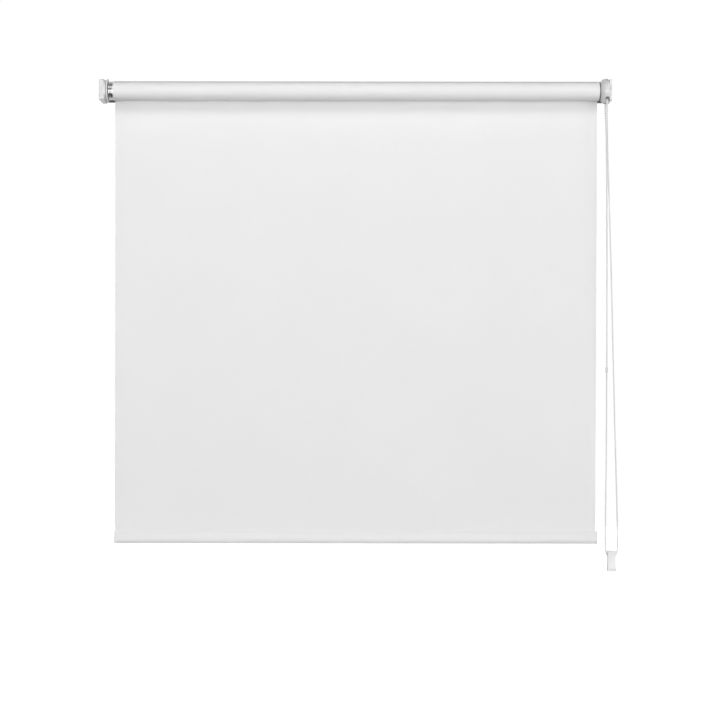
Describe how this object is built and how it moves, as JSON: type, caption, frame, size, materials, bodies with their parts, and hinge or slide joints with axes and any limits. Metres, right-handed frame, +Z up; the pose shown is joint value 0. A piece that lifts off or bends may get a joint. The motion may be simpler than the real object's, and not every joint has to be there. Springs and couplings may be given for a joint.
{
  "type": "roller blind",
  "caption": "Chain-operated roller blind, half lowered: fabric on a tube between two wall brackets, spring-pin idler, clutch drive, ball chain with weight, and bottom rail.",
  "frame": {"origin": "midway between the two brackets, on the wall plane, level with the roller axis: the centre of the four wall screw slots", "axes": "+X to the right for someone facing the blind, along the roller; +Y into the wall, so the room is towards -Y; +Z up"},
  "size_m": [1.22, 0.0645, 1.1577],
  "materials": {
    "white_fabric": "matt white woven blackout cloth",
    "white_rail": "white powder coat, satin",
    "white_plastic": "white moulded plastic, satin",
    "drive_plastic": "light grey moulded plastic",
    "silver_plastic": "silver lacquered plastic",
    "chrome_drum": "polished chrome plate",
    "tube_aluminium": "mill finish extrusion",
    "bracket_steel": "dark zinc plated steel sheet",
    "pin_steel": "bright steel",
    "spring_steel": "spring steel",
    "nylon": "natural nylon",
    "chain_plastic": "white moulded balls on polyester cord",
    "dark_plastic": "dark moulded plastic",
    "weight_plastic": "white plastic"
  },
  "bodies": {
    "root": {"bracket_left": "bracket_steel", "bracket_right": "bracket_steel", "bracket_cover_left": "silver_plastic", "bracket_cover_right": "silver_plastic", "idler_bush": "nylon", "drive_spindle": "nylon", "drive_housing": "drive_plastic", "chain_guard": "drive_plastic", "retaining_washer": "pin_steel", "retaining_screw": "pin_steel", "chain": "chain_plastic", "stop_ball": "chain_plastic", "chain_connector": "chain_plastic", "weight_front": "weight_plastic", "weight_back": "weight_plastic", "pulley_screw": "pin_steel", "weight_slug": "pin_steel"},
    "roller": {"roller_tube": "tube_aluminium", "fabric_spline": "nylon", "fabric_roll": "white_fabric", "idler_plug": "nylon", "idler_plug_cap": "nylon", "idler_drum": "chrome_drum", "idler_rim": "white_plastic", "drive_crown": "dark_plastic", "clutch_spring": "spring_steel", "sprocket": "nylon", "chain_on_sprocket": "chain_plastic"},
    "idler_pin_body": {"idler_pin": "pin_steel", "idler_spring": "spring_steel"},
    "bottom_rail": {"fabric_drop": "white_fabric", "hem_bar": "white_rail", "hem_spline": "nylon", "hem_cap_left": "white_plastic", "hem_cap_right": "white_plastic"},
    "pulley_body": {"weight_pulley": "nylon"}
  },
  "joints": [
    {"name": "roller_turn", "type": "hinge", "parent": "root", "child": "roller", "pos_m": [0, -0.035, 0], "axis": [1, 0, 0], "range_deg": [0, 2372]},
    {"name": "rail_lift", "type": "slide", "parent": "root", "child": "bottom_rail", "axis": [0, 0, 1], "range_m": [0, 1], "deforming": ["fabric_drop"]},
    {"name": "idler_pin_press", "type": "slide", "parent": "roller", "child": "idler_pin_body", "axis": [1, 0, 0], "range_m": [0, 0.008], "stiffness_N_per_m": 400, "springref_m": -0.01, "deforming": ["idler_spring"]},
    {"name": "pulley_turn", "type": "hinge", "parent": "root", "child": "pulley_body", "pos_m": [0.6033, -0.035, -1.098], "axis": [0, 1, 0], "range_deg": [-5527.52, 0]}
  ],
  "couplings": [
    {"joint": "rail_lift", "follows": "roller_turn", "m_per_rad": 0.024155},
    {"joint": "pulley_turn", "follows": "roller_turn", "ratio": -2.3299}
  ]
}
